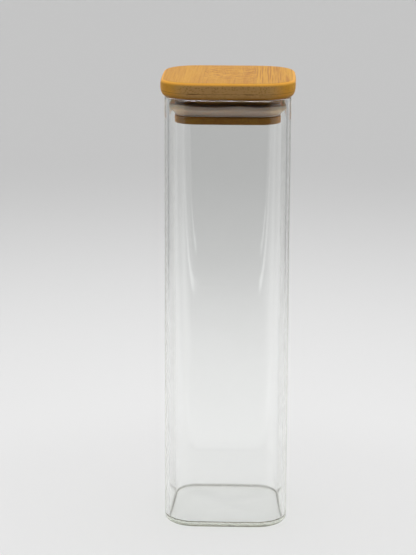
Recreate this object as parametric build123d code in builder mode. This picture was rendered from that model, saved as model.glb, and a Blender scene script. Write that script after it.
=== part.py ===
"""Square glass spice jar with a laminated bamboo lid and a silicone seal.

Millimetres, +Z up. The origin is the middle of the underside of the jar, and the front faces -Y.
The jar is one blown piece of glass. The lid is milled from a board of four plies, each glued from
three flat strips of bamboo that run front to back. Its upper part is the cover that rests on the
rim, and its lower part is the plug that goes into the mouth. A groove round the plug holds the
seal, whose lip bends upright along the glass. Every outline is the jar's own, moved in or out.
"""

import os
from math import sqrt

from build123d import *

os.makedirs("parts", exist_ok=True)

# Glass jar
jar_width = 60.0
jar_height = 210.0
jar_corner_radius = 15.0
jar_side_bulge = 0.8
glass_wall = 2.0
base_thickness = 2.2
base_edge_radius = 2.6
floor_edge_bevel = 1.0
rim_bevel = 0.6

# Cover, the part of the lid above the rim
cover_overhang = 2.0
cover_thickness = 7.9
cover_top_rounding = 2.0
cover_bevel_width = 2.3
cover_bevel_height = 3.0

# Plug, the part of the lid in the mouth: from the rim down a shoulder, the groove and a flange
plug_gap = 2.75
shoulder_height = 3.1
groove_height = 5.6
groove_depth = 2.0
flange_height = 3.6
flange_bevel = 0.5

# Seal: a band in the groove, and a lip that leaves it near the bottom and bends upright
band_clearance = 0.1
lip_clearance = 0.1
lip_root_height = 0.8
lip_root_thickness = 1.3
lip_bend_height = 2.4
lip_bend_easing = 0.9
lip_thickness = 0.8
lip_tip_thickness = 0.5
lip_rise_above_groove = 0.3

# Seams between the left, middle and right strips of each ply, as shares of the cover's width
ply_seam_shares = {
    "top_ply": (-0.18, 0.21),
    "second_ply": (-0.20, 0.14),
    "third_ply": (-0.13, 0.20),
    "bottom_ply": (-0.19, 0.16),
}
strip_names = ("left_strip", "middle_strip", "right_strip")
saw_overrun = 1.0

# Heights above the underside of the jar
groove_top = jar_height - shoulder_height
groove_bottom = groove_top - groove_height
plug_bottom = groove_bottom - flange_height
cover_top = jar_height + cover_thickness
ply_thickness = (cover_top - plug_bottom) / len(ply_seam_shares)

# The cover's width, and how far to each side of the middle a saw cut runs
cover_width = jar_width + 2 * cover_overhang
board_side = cover_width / 2 + saw_overrun

# Distances from the jar's outer face in to the plug's side and to the bottom of the groove
plug_inset = glass_wall + plug_gap
neck_inset = plug_inset + groove_depth

# The jar's outline: a shallow arc for each side, and a corner arc that touches two of them
side_half_chord = jar_width / 2 - jar_side_bulge
side_radius = (side_half_chord**2 + jar_side_bulge**2) / (2 * jar_side_bulge)
side_centre = jar_width / 2 - side_radius
centre_distance = side_radius - jar_corner_radius
corner_centre = (side_centre + sqrt(2 * centre_distance**2 - side_centre**2)) / 2


def outline_arcs(outward=0):
    """Draws the jar's outline, moved out by a distance, or in where that is negative.

    All outlines share the arcs' centres. The arcs meet on the line through a side's centre and
    a corner's centre, and the four sides are the front one, turned.
    """
    reach = (side_radius + outward) / centre_distance
    meeting_x = corner_centre * reach
    meeting_y = side_centre + (corner_centre - side_centre) * reach
    middle = jar_width / 2 + outward
    diagonal = corner_centre + (jar_corner_radius + outward) / sqrt(2)
    front_points = (
        (-meeting_x, -meeting_y),
        (0, -middle),
        (meeting_x, -meeting_y),
        (diagonal, -diagonal),
        (meeting_y, -meeting_x),
    )
    for turn in range(0, 360, 90):
        left_end, side_middle, right_end, corner_middle, next_end = (
            tuple(Vector(x, y).rotate(Axis.Z, turn)) for x, y in front_points
        )
        ThreePointArc(left_end, side_middle, right_end)
        ThreePointArc(right_end, corner_middle, next_end)


def outline_face(outward=0):
    """Returns the jar's outline as a face, moved out by a distance, or in where negative."""
    with BuildSketch() as outline:
        with BuildLine():
            outline_arcs(outward)
        make_face()
    return outline.sketch


# Jar: a solid block, rounded under its base, hollowed from the rim, and bevelled at the rim
with BuildPart() as glass_jar:
    with BuildSketch(Plane.XY):
        add(outline_face())
    extrude(amount=jar_height)
    fillet(glass_jar.edges().group_by(Axis.Z)[0], radius=base_edge_radius)
    with BuildSketch(Plane.XY.offset(base_thickness)):
        add(outline_face(-glass_wall))
    extrude(amount=jar_height - base_thickness, mode=Mode.SUBTRACT)
    inner_floor = glass_jar.faces().filter_by(Axis.Z).sort_by(Axis.Z)[1]
    chamfer(inner_floor.edges(), length=floor_edge_bevel)
    chamfer(glass_jar.edges().group_by(Axis.Z)[-1], length=rim_bevel)
glass_jar.part.label = "glass_jar"
export_step(glass_jar.part, "parts/glass_jar.step")

# Lid board: the cover and the plug milled from one block, still without its seams
with BuildPart() as lid_board:
    with BuildSketch(Plane.XY.offset(jar_height)):
        add(outline_face(cover_overhang))
    extrude(amount=cover_thickness)
    fillet(lid_board.edges().group_by(Axis.Z)[-1], radius=cover_top_rounding)
    underside = lid_board.faces().sort_by(Axis.Z)[0]
    chamfer(
        underside.edges(),
        length=cover_bevel_width,
        length2=cover_bevel_height,
        reference=underside,
    )
    with BuildSketch(Plane.XY.offset(plug_bottom)):
        add(outline_face(-plug_inset))
    extrude(amount=jar_height - plug_bottom)
    chamfer(lid_board.edges().group_by(Axis.Z)[0], length=flange_bevel)
    with BuildSketch(Plane.XY.offset(groove_bottom)):
        add(outline_face(-plug_inset))
        add(outline_face(-neck_inset), mode=Mode.SUBTRACT)
    extrude(amount=groove_height, mode=Mode.SUBTRACT)

# Strips: the board divided at its glue lines, ply by ply from the top, and left to right
for ply_index, (ply_name, seam_shares) in enumerate(ply_seam_shares.items()):
    ply_bottom = cover_top - (ply_index + 1) * ply_thickness
    seams = [share * cover_width for share in seam_shares]
    strip_sides = [-board_side, *seams, board_side]
    for strip_name, left, right in zip(strip_names, strip_sides, strip_sides[1:]):
        with BuildPart() as strip:
            add(lid_board.part)
            with BuildSketch(Plane.XY.offset(ply_bottom)):
                with Locations(((left + right) / 2, 0)):
                    Rectangle(right - left, 2 * board_side)
            extrude(amount=ply_thickness, mode=Mode.INTERSECT)
        strip.part.label = f"{ply_name}_{strip_name}"
        export_step(strip.part, f"parts/{strip.part.label}.step")

# Seal, drawn outward from the neck and up from the bottom of the groove, then swept round the neck
band_inside = band_clearance
band_bottom = band_clearance
band_top = groove_height - band_clearance
lip_outside = groove_depth + plug_gap - lip_clearance
lip_top = groove_height + lip_rise_above_groove
root_bottom = band_bottom + lip_root_height
root_top = root_bottom + lip_root_thickness
bend_top = root_bottom + lip_bend_height

with BuildPart() as seal_ring:
    with BuildLine(Plane.XY.offset(groove_bottom)) as neck_path:
        outline_arcs(-neck_inset)
    along = neck_path.line % 0
    outward = along.cross(Vector(0, 0, 1))
    with BuildSketch(Plane(origin=neck_path.line @ 0, x_dir=outward, z_dir=-along)) as seal_profile:
        with BuildLine():
            Polyline(
                (band_inside, band_bottom),
                (groove_depth, band_bottom),
                (groove_depth, root_bottom),
                (lip_outside, bend_top),
                (lip_outside, lip_top),
                (lip_outside - lip_tip_thickness, lip_top),
                (lip_outside - lip_thickness, bend_top + lip_thickness),
                (groove_depth, root_top),
                (groove_depth, band_top),
                (band_inside, band_top),
                close=True,
            )
        make_face()
        outer_bend = seal_profile.vertices().sort_by_distance((lip_outside, bend_top))[0]
        chamfer(outer_bend, length=lip_bend_easing)
    sweep(path=neck_path.line)
seal_ring.part.label = "seal_ring"
export_step(seal_ring.part, "parts/seal_ring.step")
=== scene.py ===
"""Dresses a square glass spice jar with a bamboo lid: clear glass, oiled bamboo and pale silicone.

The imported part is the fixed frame, in metres, +Z up, with the jar's front towards -Y. Each piece
here takes its place and main sizes from the node that it stands for.
"""

from math import atan2, pi, radians

import bpy
import numpy as np
from bpy.props import FloatProperty, FloatVectorProperty, PointerProperty
from bpy.types import Operator, Panel, PropertyGroup
from mathutils import Matrix, Vector


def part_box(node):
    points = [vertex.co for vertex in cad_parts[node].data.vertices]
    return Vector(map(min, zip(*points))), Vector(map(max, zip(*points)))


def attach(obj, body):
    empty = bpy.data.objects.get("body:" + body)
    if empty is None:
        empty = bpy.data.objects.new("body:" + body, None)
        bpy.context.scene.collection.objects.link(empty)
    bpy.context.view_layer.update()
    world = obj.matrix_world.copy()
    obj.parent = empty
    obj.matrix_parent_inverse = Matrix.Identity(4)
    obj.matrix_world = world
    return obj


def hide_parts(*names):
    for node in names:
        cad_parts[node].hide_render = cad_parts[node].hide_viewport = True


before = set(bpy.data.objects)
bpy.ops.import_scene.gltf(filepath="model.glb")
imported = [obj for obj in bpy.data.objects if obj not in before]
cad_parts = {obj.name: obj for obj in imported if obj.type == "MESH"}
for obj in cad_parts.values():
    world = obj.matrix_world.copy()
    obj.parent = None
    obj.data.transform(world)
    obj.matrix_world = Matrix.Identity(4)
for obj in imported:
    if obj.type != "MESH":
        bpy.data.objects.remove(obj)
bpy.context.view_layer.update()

bl_info = {
    "name": "Square Spice Jar",
    "version": (1, 0, 0),
    "blender": (4, 5, 0),
    "location": "3D View > Sidebar > Spice Jar",
    "description": "Glass, bamboo and silicone finishes for a square jar with a lift-off lid",
    "category": "Object",
}

MM = 0.001
JAR_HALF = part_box("glass_jar")[1].x
JAR_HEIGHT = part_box("glass_jar")[1].z
COVER_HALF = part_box("top_ply_right_strip")[1].x
COVER_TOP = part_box("top_ply_middle_strip")[1].z
PLUG_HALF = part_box("bottom_ply_right_strip")[1].x
PLUG_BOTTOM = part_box("bottom_ply_middle_strip")[0].z
SEAL_LOW, SEAL_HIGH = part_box("seal_ring")


def length(name, millimetres, description):
    """A length that a user can change, given in millimetres and kept in metres."""
    return FloatProperty(
        name=name,
        description=description,
        default=millimetres * MM,
        min=0,
        precision=5,
        subtype="DISTANCE",
        unit="LENGTH",
    )


def share(name, value, description):
    """A plain number that a user can change."""
    return FloatProperty(name=name, description=description, default=value, precision=3)


def colour(name, red, green, blue, description):
    """A colour that a user can change, given as sRGB levels of 0 to 255 and kept linear."""
    levels = np.array((red, green, blue)) / 255
    linear = np.where(levels <= 0.04045, levels / 12.92, ((levels + 0.055) / 1.055) ** 2.4)
    return FloatVectorProperty(
        name=name,
        description=description,
        default=tuple(linear.tolist()),
        min=0,
        max=1,
        size=3,
        subtype="COLOR",
    )


class JarGlass(PropertyGroup):
    """Sizes and finish of the glass jar."""

    corner_radius: length("Corner radius", 15, "Radius of the jar's upright corners")
    side_bulge: length("Side bulge", 0.8, "How far the middle of a side stands out")
    wall: length("Wall", 2, "Thickness of the glass wall")
    base: length("Base", 2.2, "Thickness of the glass under the floor")
    base_rounding: length("Base rounding", 2.6, "Radius of the edge that the jar stands on")
    floor_rounding: length("Floor rounding", 1.0, "Radius where the floor meets the wall")
    rim_rounding: length("Rim rounding", 0.7, "Radius of the fire-polished edges of the rim")
    push_up: length("Push-up", 0.3, "Rise of the underside's middle above the floor")
    ripple: length("Ripple", 0.05, "Unevenness of the inside of the glass")
    tint: colour("Tint", 214, 221, 206, "Colour of the glass in depth")
    depth: share("Depth of tint", 14.0, "How fast the tint deepens, per metre of glass")
    bend: share("Refraction", 1.5, "Index of refraction")
    # Painted shade at the glass's tight bends round the base: its colour, depth, and shares seen
    # from each side
    painted_bend_shade: colour("Crease", 84, 76, 46, "Colour of the tight bends round the base")
    painted_bend_shade_depth: share("Crease depth", 0.96, "How dusky the tight bends are, where 0 is clear")
    outer_shade_faint: share("Outer crease", 0.75, "Share of the outer crease seen from within the glass")
    floor_shade_faint: share("Floor crease", 0.5, "Share of the floor's crease seen from inside the jar")
    rim: colour("Rim", 232, 222, 210, "Colour of the satin, flame-polished rim")
    rim_satin: share("Rim satin", 0.3, "How satin the rim is, where 0 is clear")


class BambooLid(PropertyGroup):
    """Sizes and finish of the bamboo lid."""

    top_rounding: length("Top rounding", 2, "Radius of the cover's upper edge")
    under_width: length("Under width", 2.3, "How far the cover's side turns in underneath")
    under_height: length("Under height", 4.4, "Height over which the cover's side turns in")
    shoulder: length("Shoulder", 3.1, "Height of the plug between the rim and the groove")
    groove_height: length("Groove height", 6.0, "Height of the groove for the seal")
    groove_depth: length("Groove depth", 2, "Depth of the groove for the seal")
    edge_easing: length("Edge easing", 0.4, "Radius of the plug's sanded edges")
    glue_line: length("Glue line", 0.11, "Half the thickness of a glue line")
    fibre_width: length("Fibre width", 1.0, "Spacing of the fibre bundles across the grain")
    fibre_length: length("Fibre length", 55, "Length of a fibre bundle along the grain")
    pale: colour("Pale fibre", 218, 161, 56, "Colour of the ground between the fibres")
    dark: colour("Dark fibre", 184, 121, 44, "Colour of the fibre bundles")
    # Painted highlight: a bright colour laid on the cover's rounded upper edge and its sides, where
    # they catch the light
    painted_highlight: colour("Rubbed edge", 255, 186, 76, "Colour of the oiled, rounded edge of the top")
    cut_end: colour("Cut end", 202, 164, 114, "Colour of the cover's ends, where the grain is cut")
    glue: colour("Glue", 84, 54, 26, "Colour of the glue lines")
    sheen: share("Roughness", 0.42, "Roughness of the oiled surface")


class SealRubber(PropertyGroup):
    """Sizes and finish of the silicone seal."""

    band_thickness: length("Band", 1.9, "Thickness of the band that sits in the groove")
    lip_thickness: length("Lip", 0.8, "Thickness of the lip along the glass")
    root_height: length("Root height", 0.8, "Height of the band below the lip")
    root_thickness: length("Root thickness", 1.3, "Height of the lip where it leaves the band")
    bend_height: length("Bend height", 2.4, "Height over which the lip bends upright")
    rounding: length("Rounding", 0.25, "Radius of the moulded edges")
    shadow_gap: length("Shadow gap", 0.05, "Gap between the band and the groove's lower edge")
    waviness: length("Waviness", 1.4, "How far the lip's edge rises and dips")
    base_colour: colour("Silicone", 232, 200, 165, "Colour of the silicone")


class StudioStage(PropertyGroup):
    """Floor, light and camera of the studio."""

    # Painted pool of light: the floor's colour is lighter round the jar and darker far from it
    floor_lit_near: colour("Floor near", 237, 237, 237, "Floor colour round the jar")
    floor_dim_far: colour("Floor far", 198, 198, 198, "Floor colour far from the jar")
    floor_radius: length("Floor radius", 5000, "Radius of the floor")
    table_front: length("Table front", 430, "Distance from the jar to the table's front edge")
    light: share("Light", 2.75, "Strength of the overhead light")
    ambient: share("Ambient", 0.13, "Strength of the light from all round")
    window: share("Window", 0.85, "Brightness above the floor in reflections")
    softbox: share("Softbox", 16.0, "Brightness of the softbox in front, in reflections")
    camera_height: length("Camera height", 360.43, "Height of the camera above the floor")
    camera_back: length("Camera distance", 1000, "Distance of the camera from the jar")
    camera_aside: length("Camera aside", 9.531, "How far the camera stands to the left")
    camera_lens: share("Lens", 137.01, "Focal length in millimetres")
    camera_down: share("Look down", 13.614, "Angle of the camera below level, in degrees")
    camera_round: share("Look round", 1.891, "Angle of the camera round the jar, in degrees")
    camera_roll: share("Roll", 0.2, "Tilt of the camera about its own line, in degrees")


class SpiceJarSettings(PropertyGroup):
    """All that a user can change."""

    glass: PointerProperty(type=JarGlass, name="Glass")
    lid: PointerProperty(type=BambooLid, name="Lid")
    seal: PointerProperty(type=SealRubber, name="Seal")
    stage: PointerProperty(type=StudioStage, name="Stage")


def directions(angle):
    """The unit vector at an angle, or one for each of an array of angles."""
    return np.stack((np.cos(angle), np.sin(angle)), axis=-1)


def raised(flat, height):
    """Points in space from flat outlines, each at its own height, or all at one."""
    height = np.broadcast_to(np.reshape(height, (-1, 1)), flat.shape[:2])
    return np.concatenate((flat, height[:, :, None]), axis=2)


class Outline:
    """The jar's outline as eight arcs, moved out or in by an offset.

    Each side is a shallow arc and each corner a tight one that touches it, and every outline
    shares their centres, so a point at an offset d is centre + (radius + d) * direction. The
    outline runs from the left end of the front side, anticlockwise seen from above.
    """

    corner_steps = 24
    side_steps = 20

    def __init__(self, half, bulge, corner_radius):
        chord = half - bulge
        self.side_radius = (chord**2 + bulge**2) / (2 * bulge)
        self.side_centre = self.side_radius - half
        reach = self.side_radius - corner_radius
        root = (2 * reach**2 - self.side_centre**2) ** 0.5
        corner = (root - self.side_centre) / 2
        self.swing = atan2(corner, corner + self.side_centre)
        self.side_shares = np.arange(self.side_steps)[None, :] / self.side_steps
        self.parts = []
        for quarter in range(4):
            facing = quarter * pi / 2 - pi / 2
            start, meeting = facing - self.swing, facing + self.swing
            next_start = facing + pi / 2 - self.swing
            side = directions(facing) * -self.side_centre
            diagonal = directions(facing + pi / 4) * corner * 2**0.5
            self.parts += [
                self.arc(side, self.side_radius, start, meeting, self.side_steps),
                self.arc(diagonal, corner_radius, meeting, next_start, self.corner_steps),
            ]

    @staticmethod
    def arc(centre, radius, start, end, steps):
        """Centre, radius and directions of an arc from one angle to another, without its end."""
        return centre, radius, directions(start + (end - start) * np.arange(steps) / steps)

    def part_points(self, parts, offset):
        """Points of some arcs at each offset: centre + (radius + offset) * direction."""
        offset = np.atleast_1d(offset)[:, None, None]
        return np.concatenate(
            [centre + (radius + offset) * outward for centre, radius, outward in parts], axis=1
        )

    def rings(self, offset, height):
        """Whole outlines, one for each offset, each at its own height."""
        return raised(self.part_points(self.parts, offset), height)

    def front(self, across, offset):
        """Where the front side lies at x: the circle's centre less the root of r^2 - x^2."""
        return self.side_centre - np.sqrt((self.side_radius + offset) ** 2 - across**2)

    def end(self, offset, cut, side):
        """A strip's right end, or its left one where side is -1, anticlockwise.

        It is a straight cut at x, or where the strip isn't cut, the outline's own side and corners.
        """
        if cut is None:
            points = self.part_points(self.parts[1:4], offset)
            return points if side > 0 else points * (-1, -1)
        along = self.front(cut, offset[:, None]) * (1 - 2 * self.side_shares) * side
        return np.stack((np.full_like(along, cut), along), axis=2)

    def strip_rings(self, offset, height, left, right):
        """Outlines cut by the planes x = left and x = right. A side that is None isn't cut."""
        meeting = (self.side_radius + offset[:, None]) * np.sin(self.swing)
        low = -meeting if left is None else np.full_like(meeting, left)
        high = meeting if right is None else np.full_like(meeting, right)
        rightward = low + (high - low) * self.side_shares
        leftward = high + (low - high) * self.side_shares
        front = np.stack((rightward, self.front(rightward, offset[:, None])), axis=2)
        back = np.stack((leftward, -self.front(leftward, offset[:, None])), axis=2)
        right_end, left_end = self.end(offset, right, 1), self.end(offset, left, -1)
        return raised(np.concatenate((front, right_end, back, left_end), axis=1), height)


def rounded_path(points, radii, steps=8, guard=0.1 * MM):
    """A path of straight runs with a round at each inner point, as an array of points.

    The round at a point touches both runs: its ends are radius * tan(turn / 2) from the point,
    and its samples are the centre plus the radius in directions spaced evenly over the turn. A
    guard point just outside each end keeps the shading of the straight runs flat.
    """
    points = np.asarray(points, float)
    path = [points[:1]]
    for before, point, after, radius in zip(points, points[1:], points[2:], radii):
        come = (point - before) / np.linalg.norm(point - before)
        go = (after - point) / np.linalg.norm(after - point)
        turn = atan2(come[0] * go[1] - come[1] * go[0], float(come @ go))
        if radius == 0 or turn == 0:
            path.append(point[None])
            continue
        side = np.sign(turn)
        reach = radius * np.tan(abs(turn) / 2)
        inward = np.array((-come[1], come[0])) * side
        centre = point - come * reach + inward * radius
        spin = directions(side * np.linspace(0, abs(turn), steps + 1))
        across = np.array((-inward[1], inward[0]))
        arc = centre - radius * (spin[:, :1] * inward + spin[:, 1:] * across)
        path += [arc[:1] - come * guard, arc, arc[-1:] + go * guard]
    path.append(points[-1:])
    return np.concatenate(path)


def filled(path, step):
    """The same path with its long runs divided evenly into runs no longer than the step."""
    pieces = []
    for start, end in zip(path, path[1:]):
        count = max(1, int(np.ceil(np.linalg.norm(end - start) / step)))
        pieces.append(start + (end - start) * np.arange(count)[:, None] / count)
    return np.concatenate((*pieces, path[-1:]))


def scaled_rings(ring, shares, height):
    """Copies of a ring drawn in towards the middle by shares, each at its own height."""
    return raised(ring[None, :, :2] * shares[:, None, None], height)


def surface(name, rings, closed=False, sharp=None, first_cap=True):
    """Makes a mesh of a grid of rings: each quad joins two neighbours on a ring to the next ring.

    The first and last rings are capped by flat faces, or the last ring is joined to the first
    where the surface is closed. Edges that turn by more than the sharp angle are kept crisp.
    """
    levels, around = rings.shape[:2]
    number = np.arange(levels * around).reshape(levels, around)
    lower = number if closed else number[:-1]
    upper = np.roll(number, -1, axis=0) if closed else number[1:]
    quads = np.stack((lower, np.roll(lower, -1, 1), np.roll(upper, -1, 1), upper), axis=-1)
    faces = quads.reshape(-1, 4).tolist()
    if not closed:
        faces.append(number[-1].tolist())
    if first_cap and not closed:
        faces.append(number[0, ::-1].tolist())
    mesh = bpy.data.meshes.new(name)
    mesh.from_pydata(rings.reshape(-1, 3).tolist(), [], faces)
    mesh.polygons.foreach_set("use_smooth", [True] * len(faces))
    if sharp is not None:
        mesh.set_sharp_from_angle(angle=sharp)
    mesh.validate()
    piece = bpy.data.objects.new(name, mesh)
    bpy.context.scene.collection.objects.link(piece)
    return piece


def painted_bend_shade_shares(path, painted_shade_bends):
    """How near each point of a path is to a painted-shade bend's middle: exp(-(distance /
    reach)^2).
    """
    nearness = np.zeros(len(path))
    for offset, height, reach in painted_shade_bends:
        distance = np.hypot(path[:, 0] - offset, path[:, 1] - height)
        nearness = np.maximum(nearness, np.exp(-((distance / reach) ** 2)))
    return nearness


def place(piece, body, node, finish):
    """Gives a piece its body and finish, and hides the node that it stands for."""
    piece.data.materials.append(finish)
    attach(piece, body)
    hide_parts(node)


class Wire:
    """A node's output that takes part in Python expressions, which add their Math nodes."""

    def __init__(self, nodes, socket):
        self.nodes = nodes
        self.socket = socket

    def __add__(self, other):
        return self.nodes.math("ADD", self, other)

    def __sub__(self, other):
        return self.nodes.math("SUBTRACT", self, other)

    def __rsub__(self, other):
        return self.nodes.math("SUBTRACT", other, self)

    def __mul__(self, other):
        return self.nodes.math("MULTIPLY", self, other)

    def __truediv__(self, other):
        return self.nodes.math("DIVIDE", self, other)

    def __pow__(self, other):
        return self.nodes.math("POWER", self, other)

    def __abs__(self):
        return self.nodes.math("ABSOLUTE", self)

    __radd__ = __add__
    __rmul__ = __mul__


# More than any ray's number of bounces
MANY_BOUNCES = 99

WHITE = (1, 1, 1)


class Nodes:
    """Makes the nodes of one material or of the world."""

    def __init__(self, tree):
        self.tree = tree
        tree.nodes.clear()

    def node(self, kind, settings=None, inputs=None, output=0):
        """Makes a node of a type, sets its settings, fills its sockets, and wraps one output."""
        made = self.tree.nodes.new(kind)
        for name, value in (settings or {}).items():
            setattr(made, name, value)
        for key, value in (inputs or {}).items():
            if isinstance(value, Wire):
                self.tree.links.new(value.socket, made.inputs[key])
            else:
                made.inputs[key].default_value = value
        return Wire(self, made.outputs[output]) if len(made.outputs) else None

    def math(self, operation, *values):
        """A number worked out from numbers."""
        return self.node("ShaderNodeMath", {"operation": operation}, dict(enumerate(values)))

    def vector(self, operation, *values, output=0):
        """A vector worked out from vectors, or a number where the output is Value."""
        settings = {"operation": operation}
        return self.node("ShaderNodeVectorMath", settings, dict(enumerate(values)), output)

    def mix(self, factor, start, end, blend="MIX"):
        """A colour between two colours, by a factor."""
        start, end = (rgba(value) for value in (start, end))
        settings = {"data_type": "RGBA", "blend_type": blend}
        return self.node("ShaderNodeMix", settings, {0: factor, 6: start, 7: end}, output=2)

    def ease(self, value, low, high):
        """0 below low, 1 above high, and a smooth step between them."""
        inputs = {"Value": value, "From Min": low, "From Max": high}
        return self.node("ShaderNodeMapRange", {"interpolation_type": "SMOOTHSTEP"}, inputs)

    def position(self, shift=(0, 0, 0)):
        """The point on the piece in its own frame, moved by a shift."""
        return self.vector("ADD", self.node("ShaderNodeTexCoord", output="Object"), shift)

    def flat(self, across, along):
        """A vector of two numbers and 0."""
        return self.node("ShaderNodeCombineXYZ", None, {0: across, 1: along, 2: 0.0})

    def axes(self, vector):
        """The three parts of a vector."""
        split = self.node("ShaderNodeSeparateXYZ", inputs={0: vector}).socket.node
        return [Wire(self, socket) for socket in split.outputs]

    def facing(self):
        """The parts of the surface's direction in the piece's own frame."""
        return self.axes(self.node("ShaderNodeTexCoord", output="Normal"))

    def noise(self, vector, detail=2.0, rough=0.5):
        """Smooth noise of about 0 to 1, one unit of the vector to a blotch."""
        inputs = {"Vector": vector, "Scale": 1.0, "Detail": detail, "Roughness": rough}
        return self.node("ShaderNodeTexNoise", None, inputs)

    def clouds(self, per_metre, detail=2.0):
        """Smooth noise with a number of blotches per metre along each axis."""
        return self.noise(self.vector("MULTIPLY", self.position(), per_metre), detail)

    def cells(self, vector):
        """Distance to the nearest of scattered points, one unit of the vector to a cell."""
        return self.node("ShaderNodeTexVoronoi", None, {"Vector": vector, "Scale": 1.0})

    def path(self, name):
        """One of the Light Path node's outputs."""
        return self.node("ShaderNodeLightPath", output=name)

    def mirrored(self):
        """1 for a ray that a surface has mirrored and none has scattered, else 0."""
        scattered = MANY_BOUNCES * self.path("Diffuse Depth")
        return self.math("GREATER_THAN", self.path("Glossy Depth") - scattered, 0.5)

    def bump(self, height, distance, strength):
        """A surface direction bent by a relief."""
        inputs = {"Height": height, "Distance": distance, "Strength": strength}
        return self.node("ShaderNodeBump", None, inputs)

    def principled(self, inputs):
        """The general shader."""
        return self.node("ShaderNodeBsdfPrincipled", None, inputs)

    def see_through(self, colour):
        """A shader that lets a ray straight on, tinted."""
        return self.node("ShaderNodeBsdfTransparent", None, {"Color": rgba(colour)})

    def either(self, factor, first, second):
        """The first shader at 0, the second at 1, and a mix of them between."""
        return self.node("ShaderNodeMixShader", None, {0: factor, 1: first, 2: second})

    def finish(self, shader, volume=None):
        """Links the shader, and a volume where there is one, to the material's output."""
        inputs = {"Surface": shader}
        if volume is not None:
            inputs["Volume"] = volume
        self.node("ShaderNodeOutputMaterial", None, inputs)


def rgba(value):
    """A colour with an alpha of 1, or a wire as it is."""
    return value if isinstance(value, Wire) else (*value, 1.0)[:4]


def new_finish(name):
    """A new material with an empty node tree."""
    material = bpy.data.materials.new(name)
    material.use_nodes = True
    return material, Nodes(material.node_tree)


# Draw lines and film in the glass, in blotches per metre along X, Y and Z, and the depth and
# strength of the lines' relief
DRAW_LINES = (90, 90, 6)
FILM_CLOUDS = (25, 25, 14)
DRAW_RELIEF = (0.05 * MM, 0.25)

# Tints of the film where it is thickest and of the flat of a side. The flat ends at a corner, by
# the lesser part of the surface's direction, and at level faces
FILM_TINT = (0.985, 0.99, 0.987)
SIDE_TINT = (0.977, 0.979, 0.978)
FLAT_TO_CORNER = (0.30, 0.48)
CORNER_LOSS = 0.6
UPRIGHT_TO_LEVEL = (0.2, 0.6)

# Depths below the top between which the rim turns satin
SATIN_START = 0.75 * MM
SATIN_FULL = 0.4 * MM

# Shares of the base's height between which a bend is the floor's
FLOOR_BEND = (0.4, 0.8)

# Tint of the glass for shadow and diffuse rays, and for a ray trapped in the wall, which has
# turned more often than this, a mirroring counting twice
SOFT_TINT = (0.996, 0.998, 0.996)
TRAPPED_TINT = (0.97, 0.97, 0.95)
TRAPPED_TURNS = 6.5
MIRRORING_TURNS = 2


def painted_bend_shade_share(nodes, glass, up):
    """How much painted shade, standing in for dark reflections, lies on the glass at its tight
    bends round the base.

    The painted shade of the floor's bend shows in full from within the glass and less from inside
    the jar, and that of the outer bend in full from outside and less from within the glass.
    """
    painted_bend_shade = nodes.node("ShaderNodeAttribute", {"attribute_name": "painted_bend_shade"}, output="Fac")
    within = nodes.node("ShaderNodeNewGeometry", output="Backfacing")
    floor_bend = nodes.ease(up / glass.base, *FLOOR_BEND)
    strong = floor_bend * within + (1 - floor_bend) * (1 - within)
    faint = glass.outer_shade_faint + (glass.floor_shade_faint - glass.outer_shade_faint) * floor_bend
    return painted_bend_shade * glass.painted_bend_shade_depth * (faint + (1 - faint) * strong)


def glass_finish(glass):
    """Clear glass, greenish in depth, with faint draw lines, a film, satin rim and painted shade at
    bends.

    Shadow and diffuse rays go straight through it, so that the lamp shines into the jar. A ray
    that is trapped in the wall goes on through a tint, because it would otherwise end in black.
    """
    material, nodes = new_finish("clear_glass")
    _, _, up = nodes.axes(nodes.position())
    side, front, level = nodes.facing()
    lesser = nodes.math("MINIMUM", abs(side), abs(front))
    flat = 1 - CORNER_LOSS * nodes.ease(lesser, *FLAT_TO_CORNER)
    flat = flat * (1 - nodes.ease(abs(level), *UPRIGHT_TO_LEVEL))
    filmed = nodes.mix(nodes.clouds(FILM_CLOUDS, detail=3.0), WHITE, FILM_TINT)
    lined = nodes.bump(nodes.clouds(DRAW_LINES, detail=1.0), *DRAW_RELIEF)
    clear = {
        "Base Color": nodes.mix(flat, filmed, SIDE_TINT, "MULTIPLY"),
        "Roughness": 0.0,
        "IOR": glass.bend,
        "Transmission Weight": 1.0,
        "Normal": lined,
    }
    satin = {"Base Color": rgba(glass.rim), "Roughness": 0.5}
    # Painted shade: a dark, dull surface mixed into the glass at its tight bends
    painted_shade_inputs = {"Base Color": rgba(glass.painted_bend_shade), "Roughness": 0.6, "Specular IOR Level": 0.1}
    rim = nodes.ease(up, JAR_HEIGHT - SATIN_START, JAR_HEIGHT - SATIN_FULL)
    satiny = rim * glass.rim_satin
    shader = nodes.either(satiny, nodes.principled(clear), nodes.principled(satin))
    shader = nodes.either(painted_bend_shade_share(nodes, glass, up), shader, nodes.principled(painted_shade_inputs))
    mirrorings = nodes.path("Glossy Depth") * MIRRORING_TURNS
    turns = nodes.math("MAXIMUM", mirrorings, nodes.path("Ray Depth"))
    trapped = nodes.math("GREATER_THAN", turns, TRAPPED_TURNS)
    shader = nodes.either(trapped, shader, nodes.see_through(TRAPPED_TINT))
    plain = nodes.see_through(SOFT_TINT)
    for softly_lit in ("Is Diffuse Ray", "Is Shadow Ray"):
        shader = nodes.either(nodes.path(softly_lit), shader, plain)
    tint = {"Color": rgba(glass.tint), "Density": glass.depth}
    nodes.finish(shader, nodes.node("ShaderNodeVolumeAbsorption", None, tint))
    return material


STRIPS = ("left_strip", "middle_strip", "right_strip")

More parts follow.
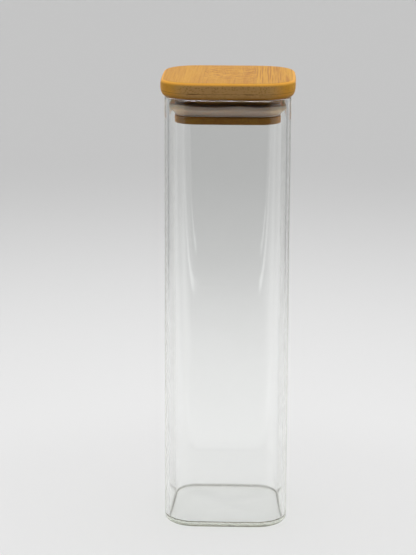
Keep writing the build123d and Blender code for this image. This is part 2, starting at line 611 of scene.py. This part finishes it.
# The look of each ply's left, middle and right strip: tone from pale 0 to dark 1, strength of its
# lines, and strength of the figure at the bamboo's node
PLY_LOOKS = {
    "top_ply": ((0.46, 0.60, 0.0), (0.52, 0.55, 1.0), (0.34, 1.60, 0.0)),
    "second_ply": ((0.45, 0.80, 0.3), (0.45, 0.80, 0.0), (0.52, 0.80, 0.2)),
    "third_ply": ((0.60, 0.70, 0.0), (0.70, 0.70, 0.4), (0.55, 0.70, 0.0)),
    "bottom_ply": ((0.60, 0.70, 0.0), (0.72, 0.80, 0.2), (0.65, 0.70, 0.0)),
}

# Each strip's grain lies this much further on in the endless block that all are cut from
GRAIN_STEP = (0.037, 0.113, 0.029)

# The figure of a bamboo's node: place along a strip as a share, and how much that varies, bow
# per metre, and reach along the grain
FIGURE_SHARE = 0.56
FIGURE_SPREAD = 0.11
FIGURE_BOW = 14
FIGURE_REACH = 18 * MM

# Sways per metre of the grain in the figure, and how far they move it aside
SWAYS = (45, 30, 45)
SWAY_REACH = 5 * MM

# Arches nested in the figure: bow per metre, width, length, and step aside from strip to strip
ARCH_BOW = 55
ARCH_WIDTH = 6 * MM
ARCH_LENGTH = 2.6 * MM
ARCH_STEP = 1 * MM

# Width and length of the grain's layers. Streaks are this share of a fibre bundle's width
BROAD_SIZE = (7 * MM, 80 * MM)
FLECK_SIZE = (1 * MM, 3 * MM)
HAIR_SIZE = (0.25 * MM, 9 * MM)
STREAK_SHARE = 0.9

# Distances from a cell's middle over which a fibre bundle, a fleck and a pore fade, in cells
BUNDLE_EDGE = (0.16, 0.42)
FLECK_EDGE = (0.1, 0.45)
PORE_EDGE = (0.2, 0.5)

# How far each layer moves the tone, a loss that balances them, and the palest and darkest tone
BROAD_TONE = 0.7
STREAK_TONE = 1.1
BUNDLE_TONE = 0.42
HAIR_TONE = 0.35
FLECK_TONE = 0.5
ARCH_TONE = 3.6
TONE_LOSS = 0.08
PALE_TO_DARK = (-0.1, 1.1)

# Parts of the surface's direction between which it turns endwise, into a cover's end, sidewise
# for the painted side highlight, into the rounded edge of the top with its painted highlight, into
# the flat top, and underneath for the painted shade
ENDWISE = (0.35, 0.9)
COVER_END = (0.6, 0.97)
SIDEWISE = (0.2, 0.75)
ROUNDED = (0.2, 0.7)
FLAT_TOP = (0.86, 0.985)
UNDERNEATH = (0.1, 0.8)

# Half the height over which the plug's look turns into the cover's
COVER_BLEND = 0.5 * MM

# Tints of the plug's sawn ends, of pores in the cover's ends, and of the painted shade underneath,
# and strength of the cover's end grain and of the painted highlight on its sides
SAWN_TINT = (0.597, 0.623, 0.87)
PORE_TINT = (0.67, 0.628, 0.58)
PAINTED_UNDERSIDE_SHADE = (0.37, 0.334, 0.298)
PORES_PER_METRE = (900, 150, 1300)
END_GRAIN = 0.7
SIDE_HIGHLIGHT = 0.4

# Patches of thick glue between plies: start and spacing across, edge, and raggedness
PATCH_START = 16.6 * MM
PATCH_SPACING = 27.6 * MM
PATCH_EDGE = (0.5, 1.0)
RAG_CLOUDS = (300, 300, 0)
RAGGEDNESS = 1.6

# Thickness of the glue between plies, of what patches add, and of a seam, as shares of the named
# glue line, how dark both are, and the fade at a line's edge
PLY_GLUE = 0.7
PATCH_GLUE = 2.0
SEAM_GLUE = 0.35
PLY_DARKNESS = 0.8
SEAM_DARKNESS = 0.4
GLUE_EDGE = (0.4, 1.2)

# Relief of the bundles and the hair, the depth and strength of the whole, and how much the hair
# and a cut roughen the wood
BUNDLE_RELIEF = -0.6
HAIR_RELIEF = 0.4
WOOD_RELIEF = (0.06 * MM, 0.5)
HAIR_ROUGHNESS = 0.16
CUT_ROUGHNESS = 0.12


def grain(nodes, name, look, lid, number):
    """The grain's tone, from pale 0 to dark 1, with its fibre bundles and its fine hair.

    Each layer is noise or scattered points, drawn out along the grain. The figure follows a bow
    across the strip, and fades along the grain by exp(-(distance / reach)^2).
    """
    tone, lines, figure = look
    low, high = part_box(name)
    across, along, _ = nodes.axes(nodes.position())
    middle = low.y + (high.y - low.y) * (FIGURE_SHARE + FIGURE_SPREAD * np.sin(3 * number))
    off_middle = along - middle - FIGURE_BOW * across * across
    figured = nodes.math("EXPONENT", -1 * (off_middle / FIGURE_REACH) ** 2) * figure
    straight = nodes.position(tuple(step * number for step in GRAIN_STEP))
    sway = nodes.noise(nodes.vector("MULTIPLY", straight, SWAYS), detail=1.0)
    aside = nodes.flat((sway - 0.5) * figured * SWAY_REACH, 0.0)
    swayed = nodes.vector("ADD", straight, aside)

    def drawn_out(width, run):
        return nodes.vector("MULTIPLY", swayed, (1 / width, 1 / run, 1 / width))

    broad = nodes.noise(drawn_out(*BROAD_SIZE))
    streaked = drawn_out(STREAK_SHARE * lid.fibre_width, lid.fibre_length)
    streaks = nodes.noise(streaked, detail=3.0, rough=0.6)
    fibres = nodes.cells(drawn_out(lid.fibre_width, lid.fibre_length))
    bundles = 1 - nodes.ease(fibres, *BUNDLE_EDGE)
    flecks = 1 - nodes.ease(nodes.cells(drawn_out(*FLECK_SIZE)), *FLECK_EDGE)
    hair = nodes.noise(drawn_out(*HAIR_SIZE))
    arch_across = (across - ARCH_STEP * number) / ARCH_WIDTH
    arch_along = (along - middle - ARCH_BOW * across * across) / ARCH_LENGTH
    arches = nodes.noise(nodes.flat(arch_across, arch_along))
    tone = (
        tone
        + (broad - 0.5) * BROAD_TONE
        + (streaks - 0.5) * (STREAK_TONE * lines)
        + bundles * (BUNDLE_TONE * lines)
        + (hair - 0.5) * HAIR_TONE
        + flecks * figured * FLECK_TONE
        + (arches - 0.5) * figured * ARCH_TONE
        - TONE_LOSS
    )
    return tone, bundles, hair


def cut_ends_and_painted_light(nodes, lid, wood, cut_end):
    """Wood colour with cut ends, pores, painted highlights on the cover's edges, painted shade
    below.

    Each of them is laid on by the way that the surface faces.
    """
    here = nodes.position()
    _, _, up = nodes.axes(here)
    aside, facing, rising = nodes.facing()
    on_cover = nodes.ease(up, JAR_HEIGHT - COVER_BLEND, JAR_HEIGHT + COVER_BLEND)
    shade = nodes.mix(cut_end * (1 - on_cover), wood, SAWN_TINT, "MULTIPLY")
    pores = nodes.cells(nodes.vector("MULTIPLY", here, PORES_PER_METRE))
    pores = 1 - nodes.ease(pores, *PORE_EDGE)
    pored = nodes.mix(pores, lid.cut_end, PORE_TINT, "MULTIPLY")
    cover_end = nodes.ease(abs(facing), *COVER_END) * on_cover
    shade = nodes.mix(cover_end * END_GRAIN, shade, pored)
    # Painted highlight on the cover's sides
    highlit_cover_side = nodes.ease(abs(aside), *SIDEWISE) * on_cover
    shade = nodes.mix(highlit_cover_side * SIDE_HIGHLIGHT, shade, lid.painted_highlight)
    # Painted highlight along the cover's rounded upper edge
    rounded = nodes.ease(rising, *ROUNDED) * (1 - nodes.ease(rising, *FLAT_TOP))
    shade = nodes.mix(rounded, shade, lid.painted_highlight)
    # Painted shade on the faces that turn underneath
    return nodes.mix(nodes.ease(0 - rising, *UNDERNEATH), shade, PAINTED_UNDERSIDE_SHADE, "MULTIPLY")


def glue_lines(nodes, name, lid):
    """How much glue shows, 0 to 1, along the edges where a strip is glued to its neighbours.

    A cosine wave across the lid, made ragged by noise, says where the glue between plies is thick.
    """
    low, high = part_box(name)
    across, _, up = nodes.axes(nodes.position())
    wave = nodes.math("COSINE", (across + PATCH_START) * (2 * pi / PATCH_SPACING))
    ragged = (nodes.clouds(RAG_CLOUDS) - 0.5) * RAGGEDNESS
    ply_glue = lid.glue_line * (PLY_GLUE + PATCH_GLUE * nodes.ease(wave + ragged, *PATCH_EDGE))
    seam_glue = SEAM_GLUE * lid.glue_line
    edges = (
        (abs(across - low.x) / seam_glue, SEAM_DARKNESS, not name.endswith("left_strip")),
        (abs(across - high.x) / seam_glue, SEAM_DARKNESS, not name.endswith("right_strip")),
        (abs(up - low.z) / ply_glue, PLY_DARKNESS, not name.startswith("bottom")),
        (abs(up - high.z) / ply_glue, PLY_DARKNESS, not name.startswith("top")),
    )
    glued = 0.0
    for gap, darkness, joined in edges:
        if joined:
            line = (1 - nodes.ease(gap, *GLUE_EDGE)) * darkness
            glued = nodes.math("MAXIMUM", line, glued)
    return glued


def bamboo_finish(name, look, lid, number):
    """Oiled bamboo whose fibre bundles run front to back: lines on a face, dots on an end."""
    material, nodes = new_finish(f"bamboo_{name}")
    tone, bundles, hair = grain(nodes, name, look, lid, number)
    wood = nodes.mix(nodes.ease(tone, *PALE_TO_DARK), lid.pale, lid.dark)
    _, facing, _ = nodes.facing()
    cut_end = nodes.ease(abs(facing), *ENDWISE)
    glued = glue_lines(nodes, name, lid)
    relief = bundles * BUNDLE_RELIEF + hair * HAIR_RELIEF - glued
    inputs = {
        "Base Color": nodes.mix(glued, cut_ends_and_painted_light(nodes, lid, wood, cut_end), lid.glue),
        "Roughness": lid.sheen + (hair - 0.5) * HAIR_ROUGHNESS + cut_end * CUT_ROUGHNESS,
        "IOR": 1.45,
        "Specular IOR Level": 0.04,
        "Coat Weight": 0.02,
        "Coat Roughness": 0.25,
        "Normal": nodes.bump(relief, *WOOD_RELIEF),
    }
    nodes.finish(nodes.principled(inputs))
    return material


# Bloom on the silicone and fine rings round it, in blotches per metre, with the bloom's tint and
# roughness and the rings' relief
BLOOM_CLOUDS = (260, 260, 420)
RING_CLOUDS = (60, 60, 900)
BLOOM_TINT = (0.91, 0.91, 0.91)
BLOOM_ROUGHNESS = 0.3
RING_RELIEF = (0.05 * MM, 0.3)

# Heights above the seal's foot and below its top between which painted shade gives way to painted
# light, and the brightness of each
PAINTED_LIGHT_START = 1.5 * MM
PAINTED_LIGHT_FULL = 1.0 * MM
SHADED_LOW_SHARE = 0.8
LIT_HIGH_SHARE = 1.1

# Shares of the seal's half width between which its corners begin, and the tint of the painted
# shade between them
CORNERS = (0.55, 0.85)
MIDDLE_SHADE_TINT = (0.75, 0.81, 1.0)


def silicone_finish(seal):
    """Matt milky silicone, slight bloom, painted light upwards, cool painted shade between corners.
    """
    material, nodes = new_finish("silicone")
    across, _, up = nodes.axes(nodes.position())
    bloom = nodes.clouds(BLOOM_CLOUDS, detail=3.0)
    high_up = nodes.ease(up, SEAL_LOW.z + PAINTED_LIGHT_START, SEAL_HIGH.z - PAINTED_LIGHT_FULL)
    # Lit and shaded copies of the silicone's colour: painted shade low down, painted light high up
    shaded_low_colour = [SHADED_LOW_SHARE * part for part in seal.base_colour]
    lit_high_colour = [min(1, LIT_HIGH_SHARE * part) for part in seal.base_colour]
    ground = nodes.mix(high_up, shaded_low_colour, lit_high_colour)
    # Painted shade, darker and cooler, between the corners
    cornered = nodes.ease(abs(across) / SEAL_HIGH.x, *CORNERS)
    ground = nodes.mix(1 - cornered, ground, MIDDLE_SHADE_TINT, "MULTIPLY")
    inputs = {
        "Base Color": nodes.mix(bloom, ground, BLOOM_TINT, "MULTIPLY"),
        "Roughness": 0.42 + (bloom - 0.5) * BLOOM_ROUGHNESS,
        "IOR": 1.41,
        "Subsurface Weight": 0.8,
        "Subsurface Radius": (4.0 * MM, 3.1 * MM, 2.3 * MM),
        "Subsurface Scale": 1.0,
        "Normal": nodes.bump(nodes.clouds(RING_CLOUDS), *RING_RELIEF),
    }
    nodes.finish(nodes.principled(inputs))
    return material


def jar_outline(settings):
    """The outline that all pieces share."""
    glass = settings.glass
    return Outline(JAR_HALF, glass.side_bulge, glass.corner_radius)


# How far the flat past a round runs on, in radii of the round, and the wall's longest step
RUN_ON = 1.2
WALL_STEP = 3 * MM

# Rings of the underside and of the floor, as shares of their outermost ring
DISC_SHARES = np.linspace(0.02, 0.98, 25)

# Waves in the floor: radians per metre and at the middle, and height in ripples
FLOOR_WAVES = (130, 105)
WAVE_STARTS = (1.1, 0.4)
WAVE_HEIGHT = 3

# Darkest line of the painted shade on the floor's round and on the outer one, in and up from the
# square corner in radii of the round, with its reach
FLOOR_PAINTED_SHADE = (0.29, 0.29)
FLOOR_PAINTED_SHADE_REACH = 0.4 * MM
OUTER_PAINTED_SHADE = (0.5, 0.134)
OUTER_PAINTED_SHADE_REACH = 1.1 * MM


class SPICEJAR_OT_glass(Operator):
    """Makes the glass jar: one surface from the underside up over the rim and down to the floor."""

    bl_idname = "spicejar.glass"
    bl_label = "Blow Glass Jar"

    def execute(self, context):
        settings = context.scene.spice_jar
        glass = settings.glass
        outline = jar_outline(settings)
        inside = -glass.wall
        path = rounded_path(
            (
                (-RUN_ON * glass.base_rounding, 0),
                (0, 0),
                (0, JAR_HEIGHT),
                (inside, JAR_HEIGHT),
                (inside, glass.base),
                (inside - RUN_ON * glass.floor_rounding, glass.base),
            ),
            (glass.base_rounding, glass.rim_rounding, glass.rim_rounding, glass.floor_rounding),
        )
        path = filled(path, WALL_STEP)
        wall = outline.rings(path[:, 0], path[:, 1])
        push_up = glass.push_up * (1 - DISC_SHARES**2) ** 2
        underside = scaled_rings(wall[0], DISC_SHARES, push_up)
        shares = DISC_SHARES[::-1]
        floor = scaled_rings(wall[-1], shares, glass.base)
        swell = np.prod(np.sin(floor[:, :, :2] * FLOOR_WAVES + WAVE_STARTS), axis=2)
        fade = (1 - shares[:, None] ** 2) ** 0.5
        floor[:, :, 2] += WAVE_HEIGHT * glass.ripple * swell * fade
        rings = np.concatenate((underside, wall, floor))
        jar = surface("glass_jar_clear", rings)
        floor_in, floor_up = (part * glass.floor_rounding for part in FLOOR_PAINTED_SHADE)
        outer_in, outer_up = (part * glass.base_rounding for part in OUTER_PAINTED_SHADE)
        painted_shade_bends = (
            (inside - floor_in, glass.base + floor_up, FLOOR_PAINTED_SHADE_REACH),
            (-outer_in, outer_up, OUTER_PAINTED_SHADE_REACH),
        )
        # The painted shade at the bends, as a point attribute that the glass's finish reads
        levels = np.zeros(len(rings))
        levels[len(underside) : len(underside) + len(wall)] = painted_bend_shade_shares(path, painted_shade_bends)
        painted_bend_shades = jar.data.attributes.new("painted_bend_shade", "FLOAT", "POINT")
        painted_bend_shades.data.foreach_set("value", np.repeat(levels, rings.shape[1]))
        place(jar, "jar", "glass_jar", glass_finish(glass))
        return {"FINISHED"}


# Steps of the curves under the cover and round its upper edge
UNDER_STEPS = 12
TOP_STEPS = 10


def board_path(lid):
    """Side of the lid from its underside up, as offsets from the jar's outline and heights.

    The curve under the cover is a quarter of an ellipse: its half width times the sine of a turn
    and its half height times 1 less the cosine. The upper edge is a quarter of a circle.
    """
    plug = PLUG_HALF - JAR_HALF
    neck = plug - lid.groove_depth
    cover = COVER_HALF - JAR_HALF
    groove_top = JAR_HEIGHT - lid.shoulder
    groove_bottom = groove_top - lid.groove_height
    eased = lid.edge_easing
    plug_path = rounded_path(
        (
            (plug - 2 * eased, PLUG_BOTTOM),
            (plug, PLUG_BOTTOM),
            (plug, groove_bottom),
            (neck, groove_bottom),
            (neck, groove_top),
            (plug, groove_top),
            (plug, JAR_HEIGHT),
            (cover - lid.under_width, JAR_HEIGHT),
        ),
        (eased, eased / 2, eased / 2, eased / 2, eased / 2, 0),
        steps=5,
    )
    turn = np.linspace(0, pi / 2, UNDER_STEPS + 1)[1:]
    under = np.column_stack(
        (
            cover - lid.under_width * (1 - np.sin(turn)),
            JAR_HEIGHT + lid.under_height * (1 - np.cos(turn)),
        )
    )
    turn = np.linspace(0, pi / 2, TOP_STEPS + 1)
    top = np.column_stack(
        (
            cover - lid.top_rounding * (1 - np.cos(turn)),
            COVER_TOP - lid.top_rounding * (1 - np.sin(turn)),
        )
    )
    inset = ((top[-1, 0] - eased, COVER_TOP),)
    return np.concatenate((plug_path, under, top, inset))


def between(path, low, high):
    """The stretch of a rising path between two heights, with its ends on them."""
    heights = path[:, 1]
    first, last = np.searchsorted(heights, low, "right"), np.searchsorted(heights, high, "left")

    def at(index, height):
        share_up = (height - heights[index - 1]) / (heights[index] - heights[index - 1])
        return path[index - 1 : index] + (path[index] - path[index - 1]) * share_up

    start = path[:first] if heights[0] >= low else at(first, low)
    end = path[last:] if heights[-1] <= high else at(last, high)
    return np.concatenate((start, path[first:last], end))


class SPICEJAR_OT_lid(Operator):
    """Makes the lid's twelve bamboo strips: the milled side, cut at the glue lines of each ply."""

    bl_idname = "spicejar.lid"
    bl_label = "Mill Bamboo Lid"

    def execute(self, context):
        settings = context.scene.spice_jar
        outline = jar_outline(settings)
        path = board_path(settings.lid)
        looks = {
            f"{ply}_{strip}": look
            for ply, ply_looks in PLY_LOOKS.items()
            for strip, look in zip(STRIPS, ply_looks)
        }
        for number, (name, look) in enumerate(looks.items(), start=1):
            low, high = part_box(name)
            stretch = between(path, low.z, high.z)
            left = None if name.endswith("left_strip") else low.x
            right = None if name.endswith("right_strip") else high.x
            rings = outline.strip_rings(stretch[:, 0], stretch[:, 1], left, right)
            strip = surface(f"{name}_bamboo", rings, sharp=radians(40))
            place(strip, "lid", name, bamboo_finish(name, look, settings.lid, number))
        return {"FINISHED"}


# The lip's tip as a share of its thickness, and how far the band ends below the lip
TIP_SHARE = 0.6
BAND_DROP = 0.4 * MM

# Roundings of the seal's corners from the foot of its inside, as shares of the named one
CORNER_SHARES = (1, 1, 0.5, 8, 0.9, 0.9, 5, 1, 1, 1)

# Waves of the lip's edge: number round the ring, height as a share, and radians at the start,
# and the height of all of them together from trough to crest
LIP_WAVES = ((5, 1.0, 1.48), (9, 0.6, 2.2), (2, 0.5, 0.0))
WAVE_SPAN = 4.2


class SPICEJAR_OT_seal(Operator):
    """Makes the silicone seal: a moulded profile carried round the neck, with a wavy lip.

    The lip's edge dips by a sum of sine waves round the ring, and the rest of the lip follows it
    by its share of the way out times the square of its share of the way up.
    """

    bl_idname = "spicejar.seal"
    bl_label = "Mould Seal"

    def execute(self, context):
        settings = context.scene.spice_jar
        seal = settings.seal
        outline = jar_outline(settings)
        outside = SEAL_HIGH.x - JAR_HALF
        plug = PLUG_HALF - JAR_HALF
        inside = plug - seal.band_thickness
        low, high = SEAL_LOW.z + seal.shadow_gap, SEAL_HIGH.z
        root = SEAL_LOW.z + seal.root_height
        bend = root + seal.bend_height
        band_top = high - BAND_DROP
        corners = (
            (inside, (low + band_top) / 2),
            (inside, low),
            (plug, low),
            (plug, root),
            (outside, bend),
            (outside, high),
            (outside - TIP_SHARE * seal.lip_thickness, high),
            (outside - seal.lip_thickness, bend + seal.lip_thickness),
            (plug, root + seal.root_thickness),
            (plug, band_top),
            (inside, band_top),
            (inside, (low + band_top) / 2),
        )
        radii = [part * seal.rounding for part in CORNER_SHARES]
        path = rounded_path(corners, radii, steps=6)[:-1]
        rings = outline.rings(path[:, 0], path[:, 1])
        around = np.arctan2(rings[:, :, 1], rings[:, :, 0])
        dips = sum(part * np.sin(count * around + start) for count, part, start in LIP_WAVES)
        outward = np.clip((path[:, 0] - plug) / (outside - plug), 0, 1)
        upward = np.clip((path[:, 1] - root) / (high - root), 0, 1)
        loose = (outward * upward**2)[:, None]
        rings[:, :, 2] += seal.waviness * loose * (dips - dips.max()) / WAVE_SPAN
        ring = surface("seal_ring_silicone", rings, closed=True, sharp=radians(50))
        place(ring, "lid", "seal_ring", silicone_finish(seal))
        return {"FINISHED"}


# Distances from the jar over which the painted pool of light on the paper fades, and the paper's
# mottle
PAINTED_LIGHT_FADE = (0.12, 0.98)
MOTTLE_CLOUDS = (2.5, 2.5, 2.5)
MOTTLE = 0.03
MOTTLE_GREY = (0.5, 0.5, 0.5)

# The table's front edge in reflections: its bow per metre, how ragged it is, and half its blur
EDGE_BOW = 0.5
EDGE_CLOUDS = (9, 9, 9)
EDGE_RAGGEDNESS = 0.08
EDGE_BLUR = 0.09

# Dark patches at the back left and right: slope and blur of their inner sides, blur of their
# near end by distance from the jar and by depth behind it, and their strength
BACK_SLOPE = 0.75
BACK_SIDE = (0.05, 0.15)
BACK_NEAR = (0.4, 0.6)
BACK_DEPTH = (0.05, 0.2)
BACK_DARKNESS = 0.38

# Bright strip past the table's edge: its distance, its half width's blur, and the gap in front
# of the jar's middle
GLINT_DISTANCE = 0.085
GLINT_WIDTH = (0.01, 0.035)
GLINT_GAP = (0.04, 0.12)

# Bright patch in front of the jar: where it begins and ends, and its strength
NEARBY_START = (0.0, 0.06)
NEARBY_END = (0.15, 0.34)
NEARBY = 0.5

# The room that takes the floor's place in reflections: darkness, and brightness of what is lit
ROOM_GREY = (0.02, 0.02, 0.02)
ROOM_LIGHT = 1.8


def floor_finish(stage):
    """Pale paper, a painted pool of light round the jar, and a dark room that only reflections
    show.

    The room has two bright parts, a strip past the table's front edge and a patch in front of
    the jar, and two dark patches at the back. Diffuse rays meet its part past the edge too.
    """
    material, nodes = new_finish("studio_floor")
    here = nodes.position()
    across, along, _ = nodes.axes(here)
    away = nodes.vector("LENGTH", here, output="Value")
    # Painted pool of light, fading away from the jar
    shade = nodes.mix(nodes.ease(away, *PAINTED_LIGHT_FADE), stage.floor_lit_near, stage.floor_dim_far)
    mottle = nodes.clouds(MOTTLE_CLOUDS) * MOTTLE
    shade = nodes.mix(mottle, shade, MOTTLE_GREY)
    paper = nodes.principled({"Base Color": shade, "Roughness": 0.9, "Specular IOR Level": 0.0})
    ragged = (nodes.clouds(EDGE_CLOUDS, detail=3.0) - 0.5) * EDGE_RAGGEDNESS
    front = along + stage.table_front + EDGE_BOW * across * across
    past_edge = 1 - nodes.ease(front + ragged, -EDGE_BLUR, EDGE_BLUR)
    patches = nodes.ease(abs(across) - BACK_SLOPE * along, *BACK_SIDE)
    patches = patches * nodes.ease(away, *BACK_NEAR) * nodes.ease(along, *BACK_DEPTH)
    glint = 1 - nodes.ease(abs(front + GLINT_DISTANCE), *GLINT_WIDTH)
    glint = glint * nodes.ease(abs(across), *GLINT_GAP)
    before = 0 - along
    nearby = nodes.ease(before, *NEARBY_START) * (1 - nodes.ease(before, *NEARBY_END))
    nearby = nearby * (1 - past_edge)
    mirrored = nodes.mirrored()
    indirect = nodes.math("MAXIMUM", mirrored, nodes.path("Is Diffuse Ray"))
    room = nodes.math("MAXIMUM", indirect * past_edge, mirrored * patches * BACK_DARKNESS)
    room = nodes.math("MAXIMUM", room, mirrored * nearby * NEARBY)
    lit = nodes.mix(nodes.math("MAXIMUM", glint, nearby), ROOM_GREY, WHITE)
    seen = nodes.node("ShaderNodeEmission", None, {"Color": lit, "Strength": ROOM_LIGHT})
    nodes.finish(nodes.either(room, paper, seen))
    return material


# The soft light: its share from the front, and the directions between which it grows to the back
FRONT_SHARE = 0.3
FRONT_TO_BACK = (-0.7, 0.3)

# The softbox in front: the turns of a ray that still sees it, and the directions between which
# it fades to the sides and comes up above the floor
SOFTBOX_TURNS = 3.5
SOFTBOX_SIDES = (-0.7, -0.3)
SOFTBOX_FOOT = (0.0, 0.1)


def set_world(stage):
    """A plain grey that the camera sees, also through glass, and a soft light from the back.

    Mirrored rays see an even window, and those that polished glass mirrors early a softbox too.
    """
    world = bpy.data.worlds.new("studio")
    bpy.context.scene.world = world
    world.use_nodes = True
    nodes = Nodes(world.node_tree)
    _, forward, rising = nodes.axes(nodes.node("ShaderNodeTexCoord", output="Generated"))
    seen = nodes.math("MAXIMUM", nodes.path("Is Camera Ray"), nodes.path("Is Transmission Ray"))
    mirrored = nodes.mirrored()
    soft = stage.ambient * (FRONT_SHARE + nodes.ease(forward, *FRONT_TO_BACK))
    early = nodes.math("LESS_THAN", nodes.path("Ray Depth"), SOFTBOX_TURNS)
    in_front = 1 - nodes.ease(forward, *SOFTBOX_SIDES)
    lamp = nodes.path("Is Singular Ray") * early * in_front * nodes.ease(rising, *SOFTBOX_FOOT)
    hidden = mirrored * (stage.window + lamp * stage.softbox) + (1 - mirrored) * soft
    level = seen * stage.floor_dim_far[0] + (1 - seen) * hidden
    grey = nodes.node("ShaderNodeBackground", None, {"Color": rgba(WHITE), "Strength": level})
    nodes.node("ShaderNodeOutputWorld", None, {"Surface": grey})


# The floor: sides, rings, root of the innermost ring's share, and drop below the jar
FLOOR_SIDES = 96
FLOOR_RINGS = 30
FLOOR_MIDDLE = 0.02
FLOOR_DROP = 0.05 * MM

# Breadth of the overhead light, and its turn about X, Y and Z, in degrees
LAMP_BREADTH = 84
LAMP_TURN = (-9, 2, 0)


class SPICEJAR_OT_stage(Operator):
    """Makes the pale floor, the soft overhead light and the grey surroundings."""

    bl_idname = "spicejar.stage"
    bl_label = "Set Stage"

    def execute(self, context):
        stage = context.scene.spice_jar.stage
        angle = np.linspace(0, 2 * pi, FLOOR_SIDES, endpoint=False)
        shares = np.linspace(1, FLOOR_MIDDLE, FLOOR_RINGS) ** 2
        rings = scaled_rings(directions(angle) * stage.floor_radius, shares, -FLOOR_DROP)
        floor = surface("studio_floor", rings, first_cap=False)
        floor.data.materials.append(floor_finish(stage))
        set_world(stage)
        lamp = bpy.data.lights.new("overhead_softbox", "SUN")
        lamp.energy = stage.light
        lamp.angle = radians(LAMP_BREADTH)
        holder = bpy.data.objects.new("overhead_softbox", lamp)
        holder.rotation_euler = [radians(turn) for turn in LAMP_TURN]
        context.scene.collection.objects.link(holder)
        context.scene.view_settings.view_transform = "Standard"
        return {"FINISHED"}


class SPICEJAR_OT_camera(Operator):
    """Makes the camera at the photograph's place, looking a little down at the jar."""

    bl_idname = "spicejar.camera"
    bl_label = "Place Camera"

    def execute(self, context):
        stage = context.scene.spice_jar.stage
        lens = bpy.data.cameras.new("photo_camera")
        lens.sensor_width = 36
        lens.lens = stage.camera_lens
        lens.clip_start = 0.01
        lens.clip_end = 50
        camera = bpy.data.objects.new("photo_camera", lens)
        round_jar = Matrix.Rotation(radians(stage.camera_round), 4, "Z")
        spot = Vector((-stage.camera_aside, -stage.camera_back, stage.camera_height))
        tilt = Matrix.Rotation(pi / 2 - radians(stage.camera_down), 4, "X")
        roll = Matrix.Rotation(radians(stage.camera_roll), 4, "Z")
        camera.matrix_world = round_jar @ Matrix.Translation(spot) @ tilt @ roll
        context.scene.collection.objects.link(camera)
        context.scene.camera = camera
        return {"FINISHED"}


class SPICEJAR_PT_panel(Panel):
    """Lists the jar's sizes and colours and the buttons that make its pieces."""

    bl_idname = "SPICEJAR_PT_panel"
    bl_label = "Spice Jar"
    bl_space_type = "VIEW_3D"
    bl_region_type = "UI"
    bl_category = "Spice Jar"

    def draw(self, context):
        settings = context.scene.spice_jar
        for group in ("glass", "lid", "seal", "stage"):
            box = self.layout.box()
            values = getattr(settings, group)
            for name in values.__annotations__:
                box.prop(values, name)
            box.operator(f"spicejar.{group}")
        self.layout.operator("spicejar.camera")


CLASSES = (
    JarGlass,
    BambooLid,
    SealRubber,
    StudioStage,
    SpiceJarSettings,
    SPICEJAR_OT_glass,
    SPICEJAR_OT_lid,
    SPICEJAR_OT_seal,
    SPICEJAR_OT_stage,
    SPICEJAR_OT_camera,
    SPICEJAR_PT_panel,
)


def register():
    """Adds the classes and the settings."""
    for kind in CLASSES:
        bpy.utils.register_class(kind)
    bpy.types.Scene.spice_jar = PointerProperty(type=SpiceJarSettings)


def unregister():
    """Takes the settings and the classes away again."""
    del bpy.types.Scene.spice_jar
    for kind in reversed(CLASSES):
        bpy.utils.unregister_class(kind)


def main():
    """Registers the add-on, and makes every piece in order."""
    register()
    bpy.ops.spicejar.camera()
    bpy.ops.spicejar.glass()
    bpy.ops.spicejar.lid()
    bpy.ops.spicejar.seal()
    bpy.ops.spicejar.stage()


if __name__ == "__main__":
    main()
